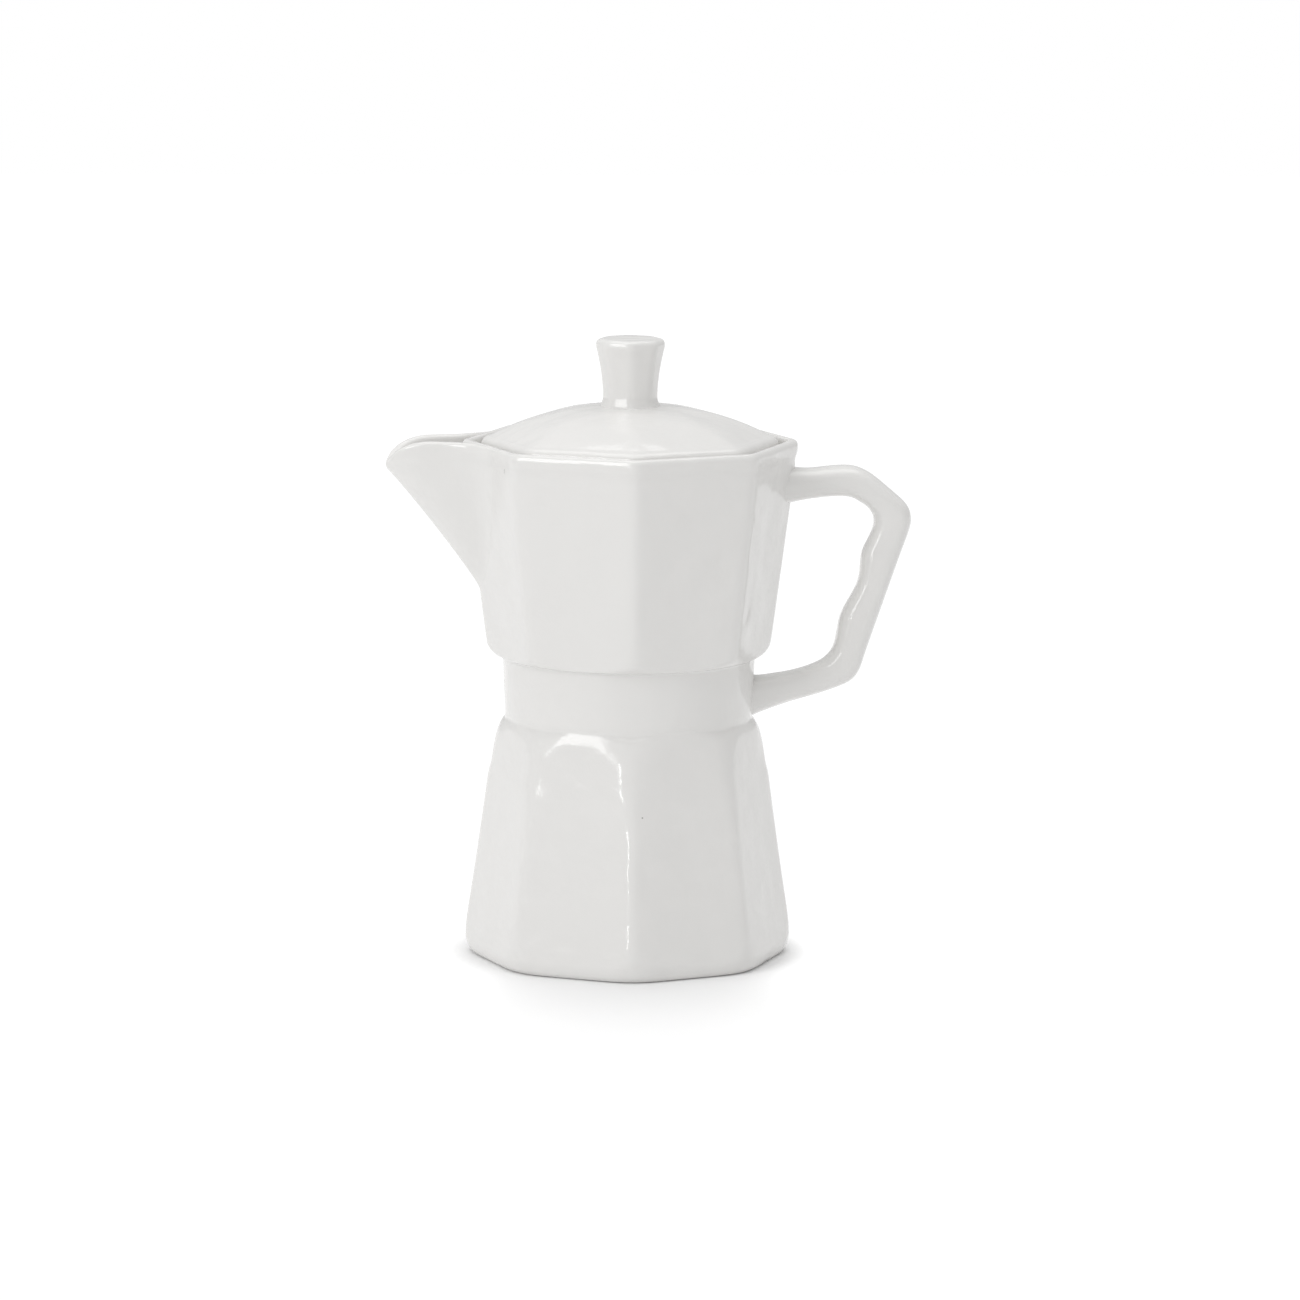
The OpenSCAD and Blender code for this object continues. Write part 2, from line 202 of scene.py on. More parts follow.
def closed(grid):
    """Points and faces of a grid that goes round, closed at its first and last row by a fan of
    triangles to the row's middle."""
    rows, columns = grid.shape[:2]
    points = np.concatenate([grid.reshape(-1, 3), grid[[0, -1]].mean(axis=1)])
    ring = np.arange(columns)
    after = np.roll(ring, -1)
    last = (rows - 1) * columns
    start = np.stack([after, ring, np.full(columns, rows * columns)], axis=1)
    end = np.stack([ring + last, after + last, np.full(columns, rows * columns + 1)], axis=1)
    return points, grid_faces(rows, columns) + start.tolist() + end.tolist()


def round_angles(steps):
    """Angles round an octagon, with so many steps from each corner to the middle of a side:
    corner +- 22.5 degrees * u^1.7, which is closest together at the corners."""
    u = np.arange(-steps, steps) / steps
    turn = np.pi / 8 * np.sign(u) * np.abs(u) ** 1.7
    corners = np.arange(8) * np.pi / 4
    return (corners[:, None] + turn[None, :]).ravel()


def no_limit(rows):
    """Rows of height and corner size, with a round limit that is none."""
    return np.column_stack([rows, np.full(len(rows), FREE)])


def facet_rows(z, corner_at, inwards=0.0):
    """Rows at the heights z with no round limit: corner size = corner_at(z) - inwards."""
    return no_limit(np.column_stack([z, corner_at(z) - inwards]))


def limited(rows, corner_at, inwards=0.0):
    """Rows of height and round limit, with the corner size between: corner_at(z) - inwards."""
    return np.column_stack([rows[:, 0], corner_at(rows[:, 0]) - inwards, rows[:, 1]])


def outside_rows():
    """Rows of the outside, from the middle of the foot's hollow to the rim and down to the seat:
    height, corner size of the octagon, radius of the round limit."""
    foot_out = BASE_CORNER - BASE_TUCK
    foot_in = foot_out - FOOT_WIDTH / TO_FLAT
    foot = no_limit(np.concatenate([
        line([FOOT_HOLLOW, 2.0], [FOOT_HOLLOW, foot_in - 2.6], 6),
        curve([FOOT_HOLLOW, foot_in - 2.6], [FOOT_HOLLOW, foot_in - 1.2], [1.2, foot_in - 0.6], 5),
        line([1.2, foot_in - 0.6], [0.4, foot_in], 2),
        curve([0.4, foot_in], [0.1, foot_in + 0.3], [0.1, foot_in + 0.8], 3),
        line([0.1, foot_in + 0.8], [0.1, foot_out - 0.9], 3),
        curve([0.1, foot_out - 0.9], [0.1, foot_out], [0.9, foot_out + 0.5], 4),
        curve([0.9, foot_out + 0.5], [2.0, BASE_CORNER], [FOOT_TURN, lower_corner(FOOT_TURN)], 8),
    ]))
    z = np.linspace(FOOT_TURN, LOWER_HEIGHT - SHOULDER_HEIGHT, 16)[:-1]
    facets = facet_rows(z, lower_corner)
    # the arches: the shoulder is turned round and cuts each facet's top in a curve
    shoulder = limited(np.concatenate([
        curve([LOWER_HEIGHT - SHOULDER_HEIGHT, WAIST_RADIUS + SHOULDER_SPREAD],
              [LOWER_HEIGHT - SHOULDER_HEIGHT * 0.2, WAIST_RADIUS + SHOULDER_SPREAD * 0.68],
              [LOWER_HEIGHT, WAIST_RADIUS + CREASE_STEP], 26),
        curve([LOWER_HEIGHT, WAIST_RADIUS + CREASE_STEP], [LOWER_HEIGHT + 0.3, WAIST_RADIUS],
              [LOWER_HEIGHT + CREASE_ROUND, WAIST_RADIUS], 5),
    ]), lower_corner)
    waist = line([LOWER_HEIGHT + CREASE_ROUND, FREE, WAIST_RADIUS + 0.06],
                 [WAIST_TOP - FOLD_HEIGHT, FREE, WAIST_TOP_RADIUS - 0.05], 12)
    bowl = limited(np.concatenate([
        curve([WAIST_TOP - FOLD_HEIGHT, WAIST_TOP_RADIUS - 0.05], [WAIST_TOP, WAIST_TOP_RADIUS],
              [WAIST_TOP + 0.15, WAIST_TOP_RADIUS + 1.0], 5),
        curve([WAIST_TOP + 0.15, WAIST_TOP_RADIUS + 1.0], [WAIST_TOP + 0.9, UPPER_CORNER + 0.7],
              [WAIST_TOP + BOWL_HEIGHT, UPPER_CORNER + BOWL_SPREAD], 22),
    ]), upper_corner)
    # rows lie closer by the pouring hole, and none of them just touches its round ends
    z = np.concatenate([
        np.linspace(WAIST_TOP + BOWL_HEIGHT, HOLE_LOW - HOLE_MARGIN, 8)[:-1],
        np.linspace(HOLE_LOW - HOLE_MARGIN, HOLE_LOW - 0.5, 5)[:-1],
        np.linspace(HOLE_LOW - 0.5, HOLE_HIGH + 0.5, 15),
        np.linspace(HOLE_HIGH + 0.5, HOLE_HIGH + HOLE_MARGIN, 5)[1:],
        np.linspace(HOLE_HIGH + HOLE_MARGIN, RIM_HEIGHT - RIM_ROUND - 1, 4)[1:],
    ])
    wall = facet_rows(z, upper_corner)
    rim_start, crest = RIM_HEIGHT - RIM_ROUND - 0.5, RIM_CORNER - 2.2
    rim = no_limit(np.concatenate([
        curve([rim_start, upper_corner(rim_start)], [RIM_HEIGHT - 0.2, RIM_CORNER + 0.1],
              [RIM_HEIGHT, crest], 10),
        curve([RIM_HEIGHT, crest], [RIM_HEIGHT, SEAT_CORNER + 0.1],
              [RIM_HEIGHT - 1.4, SEAT_CORNER], 6),
        line([RIM_HEIGHT - 1.4, SEAT_CORNER], [SEAT_HEIGHT + 0.8, SEAT_CORNER], 2),
        curve([SEAT_HEIGHT + 0.8, SEAT_CORNER], [SEAT_HEIGHT, SEAT_CORNER],
              [SEAT_HEIGHT, SEAT_CORNER - 0.8], 3),
    ]))
    return np.concatenate([foot, facets, shoulder, waist, bowl, wall, rim])


def inside_rows():
    """Rows of the inside in the same form, from the seat for the lid to the middle of the floor."""
    shift = WALL / TO_FLAT
    ledge, under_seat = SEAT_CORNER - SEAT_WIDTH / TO_FLAT, SEAT_HEIGHT - SEAT_THICK
    seat = no_limit(np.concatenate([
        line([SEAT_HEIGHT, SEAT_CORNER - 0.8], [SEAT_HEIGHT, ledge + 0.9], 3),
        curve([SEAT_HEIGHT, ledge + 0.9], [SEAT_HEIGHT, ledge], [SEAT_HEIGHT - 0.9, ledge], 4),
        line([SEAT_HEIGHT - 0.9, ledge], [under_seat + 0.8, ledge], 2),
        curve([under_seat + 0.8, ledge], [under_seat, ledge], [under_seat - 0.8, ledge + 0.9], 4),
        line([under_seat - 0.8, ledge + 0.9],
             [HOLE_HIGH + 0.8, upper_corner(HOLE_HIGH) - shift - 0.6], 3),
    ]))
    bowl_foot = WAIST_TOP + WALL
    z = np.concatenate([np.linspace(HOLE_HIGH + 0.4, HOLE_LOW - 0.4, 15),
                        np.linspace(HOLE_LOW - 0.4, 111, 9)[1:]])
    wall = facet_rows(z, upper_corner, shift)
    bowl = limited(np.concatenate([
        curve([bowl_foot + BOWL_HEIGHT, UPPER_CORNER - shift + BOWL_SPREAD],
              [bowl_foot + 0.9, UPPER_CORNER - shift + 0.7],
              [bowl_foot + 0.4, WAIST_TOP_RADIUS - WALL + 0.8], 10),
        curve([bowl_foot + 0.4, WAIST_TOP_RADIUS - WALL + 0.8],
              [bowl_foot, WAIST_TOP_RADIUS - WALL], [bowl_foot - 1, WAIST_TOP_RADIUS - WALL], 3),
    ]), upper_corner, shift)
    bowl[:, 1] += 0.6
    bowl[-3:, 1] = FREE
    waist = line([bowl_foot - 1, FREE, WAIST_TOP_RADIUS - WALL],
                 [LOWER_HEIGHT, FREE, WAIST_RADIUS - WALL], 6)
    shoulder = limited(
        curve([LOWER_HEIGHT, WAIST_RADIUS - WALL],
              [LOWER_HEIGHT - SHOULDER_HEIGHT * 0.42, WAIST_RADIUS - WALL + 4.5],
              [LOWER_HEIGHT - SHOULDER_HEIGHT, WAIST_RADIUS - WALL + 6.5], 10),
        lower_corner, shift)
    floor_start = FLOOR_HEIGHT + FLOOR_ROUND
    z = np.linspace(LOWER_HEIGHT - SHOULDER_HEIGHT, floor_start, 9)[:-1]
    facets = facet_rows(z, lower_corner, shift)
    wide = lower_corner(floor_start) - shift
    floor = no_limit(np.concatenate([
        curve([floor_start, wide], [FLOOR_HEIGHT, wide], [FLOOR_HEIGHT, wide - 5], 7),
        line([FLOOR_HEIGHT, wide - 5], [FLOOR_HEIGHT, 0.0], 6),
    ]))
    return np.concatenate([seat, wall, bowl, waist, shoulder, facets, floor])


def outer_easing(z):
    """How far the upright edges are rounded. On the base it is ridge + foot * exp(-(z / 6.5)^2) +
    shoulder * exp(-((z - top of the base) / 24)^2), and above the waist it stays the same."""
    foot = FOOT_EASING * np.exp(-((z / 6.5) ** 2))
    shoulder = SHOULDER_EASING * np.exp(-(((z - LOWER_HEIGHT) / 24) ** 2))
    return np.where(z < LOWER_HEIGHT + 2, RIDGE_EASING + foot + shoulder, UPPER_EASING)


def shape_of(rows, angles, easing, waist=WAIST_RADIUS):
    """Points at every row and angle: radius = smooth least of the octagon and the round limit,
    and on the shoulder the smooth most of that and the waist. The waist's lower edge rises over
    each facet by lift * (1 - exp(-(across / 6.5)^2)), which fades over 5 mm up and down."""
    z = np.repeat(rows[:, :1], len(angles), axis=1)
    corner, limit = rows[:, 1:2], rows[:, 2:3]
    angle = np.broadcast_to(angles, z.shape)
    turn = (angle + np.pi / 8) % (np.pi / 4) - np.pi / 8
    lift = CREASE_LIFT * (1 - np.exp(-((WAIST_RADIUS * turn / 6.5) ** 2)))
    lift = lift * np.exp(-(((z - LOWER_HEIGHT) / 5.0) ** 2))
    # towards the middle of the floor the corners are rounded in proportion
    sides = octagon(angle, corner, np.minimum(easing, corner * 0.3))
    low = z < LOWER_HEIGHT + 4
    radius = smooth_least(sides, limit, np.where(low, SHOULDER_REACH, BOWL_REACH))
    clear = smooth_most(radius, waist, CREASE_REACH)
    radius = np.where(low & (limit < FREE), clear, radius)
    return np.stack([radius * np.cos(angle), radius * np.sin(angle), z + lift], axis=-1)


angles = round_angles(18)
outer, inner = outside_rows(), inside_rows()
pot_shell = np.concatenate([
    shape_of(outer, angles, outer_easing(outer[:, :1])),
    shape_of(inner[:-1], angles, INNER_EASING, WAIST_RADIUS - WALL),
])
pot_body = make_piece("pot_body_glazed", *closed(pot_shell), glaze, "pot")
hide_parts("pot_body")

# the upright pouring hole with round ends, cut through the corner behind the spout
HOLE_POINTS = 64
turn = (np.arange(HOLE_POINTS) + 0.5) * 2 * np.pi / HOLE_POINTS
straight = (HOLE_HIGH - HOLE_LOW - HOLE_WIDTH) / 2
hole_y = HOLE_WIDTH / 2 * np.cos(turn)
hole_z = (HOLE_HIGH + HOLE_LOW) / 2 + HOLE_WIDTH / 2 * np.sin(turn)
hole_z = hole_z + straight * np.sign(np.sin(turn))
punch_rings = [np.stack([np.full(HOLE_POINTS, x), hole_y, hole_z], -1) for x in (-60.0, -40.0)]
punch = make_piece("punch", *closed(np.stack(punch_rings)), glaze, None)
cut = pot_body.modifiers.new("pouring_hole", "BOOLEAN")
cut.operation, cut.solver, cut.object = "DIFFERENCE", "EXACT", punch
bpy.context.view_layer.update()
cut_body = pot_body.evaluated_get(bpy.context.evaluated_depsgraph_get())
pot_body.data = bpy.data.meshes.new_from_object(cut_body)
pot_body.modifiers.clear()
# the glaze runs smoothly over every edge but the sharpest, round the cut hole
pot_body.data.set_sharp_from_angle(angle=np.radians(75))
bpy.data.objects.remove(punch)

# ---------------------------------------------------------------------------------------------
# The foot ring, where the glaze is wiped off before firing so that the pot doesn't stick to the
# kiln shelf: bare, finely sanded biscuit porcelain, warmer and matt.

BISCUIT_CREAM, BISCUIT_WORN = "#dfd9cc", "#cfc7b7"

biscuit = new_material("sanded_biscuit_porcelain")
place = add_node(biscuit, "ShaderNodeTexCoord")
# sanding grit leaves marks of 0.2 mm, drawn 0.6 mm wide so that they show
grit = add_node(biscuit, "ShaderNodeTexNoise", [("Scale", 1600.0), ("Detail", 3.0)],
                [("Vector", place.outputs["Object"])])
# handling darkens it in patches of about 11 mm
worn = add_node(biscuit, "ShaderNodeTexNoise", [("Scale", 90.0), ("Detail", 2.0)],
                [("Vector", place.outputs["Object"])])
shade = add_node(biscuit, "ShaderNodeMix",
                 [("data_type", "RGBA"), (6, colour(BISCUIT_CREAM)), (7, colour(BISCUIT_WORN))],
                 [(0, worn.outputs["Fac"])])
rough = add_node(biscuit, "ShaderNodeBump", [("Strength", 0.6), ("Distance", 0.00004)],
                 [("Height", grit.outputs["Fac"])])
bare = add_node(biscuit, "ShaderNodeBsdfPrincipled", [("Roughness", 0.75), ("IOR", 1.5)],
                [("Base Color", shade.outputs[2]), ("Normal", rough.outputs["Normal"])])
add_node(biscuit, "ShaderNodeOutputMaterial", (), [("Surface", bare.outputs["BSDF"])])

RING_OUT, RING_IN = BASE_CORNER - BASE_TUCK - 1.0, BASE_CORNER - BASE_TUCK - 5.7
RING_HEIGHT, RING_ROUND, RING_EASING = 0.4, 0.5, 9.0
ring_rows = no_limit(np.concatenate([
    curve([RING_HEIGHT, RING_IN], [0.0, RING_IN], [0.0, RING_IN + RING_ROUND], 4),
    line([0.0, RING_IN + RING_ROUND], [0.0, RING_OUT - RING_ROUND], 4),
    curve([0.0, RING_OUT - RING_ROUND], [0.0, RING_OUT], [RING_HEIGHT, RING_OUT], 4),
    [[RING_HEIGHT, RING_OUT], [RING_HEIGHT, RING_IN]],
]))
ring = shape_of(ring_rows, angles, RING_EASING)
foot_ring = make_piece("foot_ring_biscuit", ring.reshape(-1, 3), grid_faces(*ring.shape[:2]),
                       biscuit, "pot")

# ---------------------------------------------------------------------------------------------
# The spout: a trough with 3 mm sides, cast by itself, set on the corner over the pouring hole and
# blended into the two facets beside it with slip, so that no joint shows under the glaze.

KEEL_HEIGHT, KEEL_HOLLOW, TIP_HEIGHT, TIP_REACH = 119.1, 1.4, 158.8, 78.9
NOSE_LENGTH, SPOUT_HALF, SPOUT_WALL, LIP_LENGTH, LIP_ROUND = 8.0, 11.3, 3.0, 15.6, 1.4
BLEND_LEAST, BLEND_GROWTH, SINK, SINK_FADE = 1.0, 0.36, 0.15, 0.03
RIM_LEVEL, RAY_BACK = RIM_HEIGHT - 0.1, 30.0
SPOUT_ROWS, SPOUT_COLUMNS = 70, 60
# the corner size of the pot's outside by height, its rolled rim included
wall_rows = outer[outer[:, 0] > WAIST_TOP + BOWL_HEIGHT]
wall_rows = wall_rows[: np.argmax(wall_rows[:, 0]) + 1]


def nose_at(z):
    """x of the spout's nose: a keel from the corner to the tip, straight but for a hollow of
    1.4 * sin(pi * share)^0.5."""
    share = (z - KEEL_HEIGHT) / (TIP_HEIGHT - KEEL_HEIGHT)
    start = upper_corner(KEEL_HEIGHT) - 0.5
    hollow = KEEL_HOLLOW * np.sqrt(np.sin(np.pi * np.clip(share, 0, 1)))
    return -(start + (TIP_REACH - start) * share - hollow)


def outside_of_spout(x, y, z):
    """Below 0 inside the pot or its spout. The pot is the eased octagon; the spout is
    y - half * (1 - exp(-(back / length)^0.85)), back from its nose. A smooth least joins them
    and reaches further the higher it is. Where only the pot is left, the skin sinks under it by
    sink * exp(-(pot - both) / fade)."""
    wall = np.interp(z, wall_rows[:, 0], wall_rows[:, 1])
    pot = (np.hypot(x, y) - octagon(np.arctan2(y, x), wall, UPPER_EASING)) * TO_FLAT
    back = x - nose_at(z)
    width = SPOUT_HALF * (1 - np.exp(-((np.maximum(back, 0) / NOSE_LENGTH) ** 0.85)))
    reach = BLEND_LEAST + BLEND_GROWTH * np.clip(z - KEEL_HEIGHT, 0, None)
    both = smooth_least(pot, y - np.where(back > 0, width, 3 * back), reach)
    return both + SINK * np.exp(-(pot - both) / SINK_FADE)


def solve(inside, outside, value):
    """Where value changes sign between two arrays of places, by 40 halvings."""
    low, high = inside.copy(), outside.copy()
    for _ in range(40):
        middle = (low + high) / 2
        positive = value(middle) > 0
        high, low = np.where(positive, middle, high), np.where(positive, low, middle)
    return (low + high) / 2


def spout_side(share, z):
    """x and y of the outline at height z, from the nose (share 0) back along one side and onto
    the facet (share 1): rays from a point inside the pot, closest together at the nose. The
    outline ends 8 mm or more to the side, and half a millimetre further for each one up."""
    end_y = 8 + 0.5 * np.clip(z - KEEL_HEIGHT + 5, 0, None)
    end_x = np.interp(z, wall_rows[:, 0], wall_rows[:, 1]) - end_y * np.tan(np.pi / 8) - RAY_BACK
    ray = np.arctan2(end_y, end_x) * share**1.4
    reach = solve(np.full_like(z, 5.0), np.full_like(z, 60.0),
                  lambda r: outside_of_spout(-RAY_BACK - r * np.cos(ray), r * np.sin(ray), z))
    return -RAY_BACK - reach * np.cos(ray), reach * np.sin(ray)


def crest_at(x, y):
    """Height of the lip: level with the rim, and an ellipse down to the tip, drop * (1 -
    sqrt(1 - s^2)) with s from 0 at the bend to 1 at the tip. From 14 to 22 mm to the side it
    sinks by 0.6 and joins the rim."""
    s = np.clip((-x - (TIP_REACH - LIP_LENGTH)) / LIP_LENGTH, 0, 1)
    joined = 0.6 * np.clip((y - 14) / 8, 0, 1)
    return RIM_LEVEL - (RIM_LEVEL - TIP_HEIGHT) * (1 - np.sqrt(np.clip(1 - s**2, 0, 1))) - joined


share = np.linspace(0, 1, SPOUT_COLUMNS + 1)
crest = solve(np.full_like(share, 150.0), np.full_like(share, RIM_LEVEL + 1),
              lambda z: z - crest_at(*spout_side(share, z)))
foot = KEEL_HEIGHT - 6
z = foot + (crest - LIP_ROUND * 0.7 - foot) * np.linspace(0, 1, SPOUT_ROWS)[:, None]
x, y = spout_side(np.broadcast_to(share, z.shape), z)
# the inner side is the outer one moved in along the outline's normal by the wall's thickness,
# which falls by 1.6 mm from 12 to 20 mm to the side, where it lies on the facets
along_x, along_y = np.gradient(x, axis=1), np.gradient(y, axis=1)
along_x[:, 0] = 0
length = np.hypot(along_x, along_y)
thick = SPOUT_WALL - 1.6 * np.clip((y - 12) / 8, 0, 1)
inner_x, inner_y = x + along_y / length * thick, y - along_x / length * thick
outside = np.stack([x, y, z], -1)
inside = np.stack([inner_x, np.where(share > 0, np.maximum(inner_y, 0.02), 0), z], -1)
# the lip is half round and follows the flare of the side below it
turn = np.linspace(0, np.pi, 11)[1:-1, None, None]
flare = outside[-1] - outside[-3]
flare /= np.linalg.norm(flare, axis=-1, keepdims=True)
lip_middle = (outside[-1] + inside[-1]) / 2
lip = lip_middle + (outside[-1] - lip_middle) * np.cos(turn) + flare * LIP_ROUND * np.sin(turn)
half_shell = np.concatenate([outside, lip, inside[::-1]])
# the other side is the mirror image, and both meet along the keel
spout_shell = np.concatenate([half_shell[:, :0:-1] * [1, -1, 1], half_shell], axis=1)
spout = make_piece("spout_glazed", *closed(spout_shell.transpose(1, 0, 2)), glaze, "pot")
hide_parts("spout")

# ---------------------------------------------------------------------------------------------
# The handle: cast by itself with two finger hollows inside its grip, and joined with slip to the
# corner below the rim and to the waist. Its glaze is drawn into a small fillet at both roots.

# outer and inner edge in the XZ plane, from the upper root round to the lower one
HANDLE_EDGES = np.array([
    [51.0, 158.6, 50.2, 146.4], [54.2, 158.3, 53.4, 147.5], [58.5, 158.2, 57.8, 148.4],
    [64.0, 158.8, 63.4, 149.1], [69.0, 159.1, 68.0, 149.3], [73.3, 158.5, 71.4, 148.8],
    [77.9, 156.2, 73.9, 147.5], [82.2, 152.8, 76.0, 146.1], [86.2, 149.4, 77.5, 144.4],
    [89.3, 146.2, 78.4, 142.6], [90.6, 142.7, 78.6, 140.6], [90.2, 139.0, 78.1, 138.2],
    [88.6, 134.2, 76.6, 134.8], [86.9, 129.4, 75.0, 131.2], [85.3, 124.8, 74.4, 127.2],
    [83.7, 120.1, 73.9, 122.4], [82.1, 115.4, 72.1, 117.9], [80.5, 110.7, 69.9, 114.0],
    [78.9, 106.0, 68.0, 109.8], [77.3, 101.3, 67.1, 105.2], [75.9, 97.0, 66.1, 100.6],
    [74.5, 92.9, 64.4, 97.6], [72.2, 89.7, 61.9, 95.5], [68.4, 87.6, 58.4, 93.9],
    [62.0, 85.3, 54.6, 92.6], [55.0, 83.1, 50.0, 91.5], [48.8, 81.0, 45.6, 90.8],
    [43.4, 79.0, 41.8, 90.6], [38.7, 76.9, 38.5, 91.4],
])
HANDLE_WIDTH, ROOT_FLARE, RINGS, RING_POINTS = 13.0, 0.25, 280, 56


def smooth_curve(points, count):
    """Natural cubic spline through the rows of points: the second derivatives m solve
    m[i-1] + 4 m[i] + m[i+1] = 6 (p[i-1] - 2 p[i] + p[i+1]), with m = 0 at both ends."""
    n = len(points)
    system = np.eye(n)
    middle = np.arange(1, n - 1)
    system[middle, middle - 1], system[middle, middle], system[middle, middle + 1] = 1, 4, 1
    right = np.zeros_like(points)
    right[1:-1] = 6 * (points[:-2] - 2 * points[1:-1] + points[2:])
    bend = np.linalg.solve(system, right)
    at = np.linspace(0, n - 1, count)
    low = np.minimum(at.astype(int), n - 2)
    t = (at - low)[:, None]
    return (
        (1 - t) * points[low] + t * points[low + 1]
        + ((1 - t) ** 3 - (1 - t)) * bend[low] / 6 + (t**3 - t) * bend[low + 1] / 6
    )


def squared(c):
    """Cosine or sine made squarer: sign(c) |c|^0.72, which gives an oval with flattened sides."""
    return np.sign(c) * np.abs(c) ** 0.72


edges = smooth_curve(HANDLE_EDGES, RINGS)
middle, half = (edges[:, :2] + edges[:, 2:]) / 2, (edges[:, :2] - edges[:, 2:]) / 2
turn = np.linspace(0, 2 * np.pi, RING_POINTS, endpoint=False)
# the slip makes both roots a quarter wider, and that fades within 6 rings, or about 4 mm
flare = np.exp(-np.arange(RINGS) / 6.0) + np.exp(-np.arange(RINGS)[::-1] / 6.0)
across = squared(np.sin(turn)) * HANDLE_WIDTH / 2 * (1 + ROOT_FLARE * flare[:, None])
along = middle[:, :1] + half[:, :1] * squared(np.cos(turn))
# the upper root, at x = 51, follows the two facets that meet at its corner
along -= np.abs(across) * np.tan(np.pi / 8) * np.exp(-np.clip(middle[:, :1] - 51, 0, None) / 3.5)
rings = np.stack([along, across, middle[:, 1:] + half[:, 1:] * squared(np.cos(turn))], -1)
handle = make_piece("handle_glazed", *closed(rings[:, ::-1]), glaze, "pot")
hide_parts("handle")

# ---------------------------------------------------------------------------------------------
# The lid: an octagonal dome that rests on the sunk seat, with a collar underneath that keeps it
# in place as the pot is tipped. It is pressed in one piece and glazed all over.

LID_CORNER, LID_LOW, LID_TOP, LID_THICK, LID_EDGE = 48.3, 163.0, 178.4, 3.0, 5.9
COLLAR_CORNER, COLLAR_HEIGHT, COLLAR_WALL = 45.16, 6.0, 2.6
LID_EASING, LID_EASING_GROWTH = 3.0, 0.10
collar_foot, edge_in, under = LID_LOW - COLLAR_HEIGHT + 1, LID_CORNER - 3.1, LID_TOP - LID_THICK

# height and corner size, from the middle of the underside over the collar to the middle of the top
lid_rows = np.concatenate([
    line([under, 1.0], [under, 9.0], 4),
    curve([under, 9.0], [under, 28.0], [166.0, COLLAR_CORNER - 3.4], 16),
    curve([166.0, COLLAR_CORNER - 3.4], [164.6, COLLAR_CORNER - 2.9],
          [collar_foot, COLLAR_CORNER - COLLAR_WALL], 6),
    curve([collar_foot, COLLAR_CORNER - COLLAR_WALL],
          [LID_LOW - COLLAR_HEIGHT - 0.4, COLLAR_CORNER - COLLAR_WALL / 2],
          [collar_foot, COLLAR_CORNER], 6),
    line([collar_foot, COLLAR_CORNER], [LID_LOW - 0.4, COLLAR_CORNER], 3),
    curve([LID_LOW - 0.4, COLLAR_CORNER], [LID_LOW, COLLAR_CORNER],
          [LID_LOW, COLLAR_CORNER + 0.5], 3),
    line([LID_LOW, COLLAR_CORNER + 0.5], [LID_LOW, LID_CORNER - 0.8], 2),
    curve([LID_LOW, LID_CORNER - 0.8], [LID_LOW, LID_CORNER], [LID_LOW + 0.8, LID_CORNER], 4),
    line([LID_LOW + 0.8, LID_CORNER], [LID_LOW + 2.6, LID_CORNER], 2),
    curve([LID_LOW + 2.6, LID_CORNER], [LID_LOW + 5.2, LID_CORNER],
          [LID_LOW + LID_EDGE, edge_in], 10),
    curve([LID_LOW + LID_EDGE, edge_in], [LID_TOP - 0.8, LID_CORNER * 0.6], [LID_TOP, 9.0], 34),
    line([LID_TOP, 9.0], [LID_TOP, 0.5], 4),
])
# ridges are crisp at the edge of the lid and fade towards the knob
easing = LID_EASING + LID_EASING_GROWTH * np.clip(LID_CORNER - lid_rows[:, 1:2], 0, None)
easing = np.minimum(easing, lid_rows[:, 1:2] * 0.3)


def turned(rows, angles, easing):
    """Points round the axis at the octagon's radius, for rows of height and corner size."""
    radius = octagon(angles[None, :], rows[:, 1:2], easing)
    height = np.broadcast_to(rows[:, :1], radius.shape)
    return np.stack([radius * np.cos(angles), radius * np.sin(angles), height], axis=-1)


lid = make_piece("lid_glazed", *closed(turned(lid_rows, angles, easing)), glaze, "lid")
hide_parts("lid")

# ---------------------------------------------------------------------------------------------
# The knob: an eight-sided stopper shape with softened ridges and a flat crown, joined to the
# middle of the lid with slip.

KNOB_NECK, KNOB_TOP_CORNER, KNOB_TOP, KNOB_ROUND = 9.15, 11.35, 200.0, 3.0
KNOB_SUNK, KNOB_FILLET, KNOB_EASING = 0.6, 1.5, 2.6
knob_foot, neck_low, crown_low = LID_TOP - KNOB_SUNK, LID_TOP + 3.0, KNOB_TOP - KNOB_ROUND
knob_rows = np.concatenate([
    line([knob_foot, 1.0], [knob_foot, KNOB_NECK + KNOB_FILLET], 2),
    curve([knob_foot, KNOB_NECK + KNOB_FILLET], [LID_TOP + 0.5, KNOB_NECK + 0.2],
          [neck_low, KNOB_NECK], 12),
    curve([neck_low, KNOB_NECK], [LID_TOP + 10.5, KNOB_NECK + 0.15],
          [crown_low, KNOB_TOP_CORNER], 24),
    curve([crown_low, KNOB_TOP_CORNER], [KNOB_TOP - 0.3, KNOB_TOP_CORNER + 0.5],
          [KNOB_TOP, KNOB_TOP_CORNER - 1.7], 12),
    line([KNOB_TOP, KNOB_TOP_CORNER - 1.7], [KNOB_TOP, 0.5], 6),
])
knob_shell = turned(knob_rows, round_angles(12), np.minimum(KNOB_EASING, knob_rows[:, 1:2] * 0.28))
knob = make_piece("lid_knob_glazed", *closed(knob_shell), glaze, "lid")
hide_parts("lid_knob")

# ---------------------------------------------------------------------------------------------
# The table and the light: a white tabletop in a white room, a large soft window of daylight from
# the upper left and a bright ceiling. The table is smooth and matt, and takes a faint shadow.

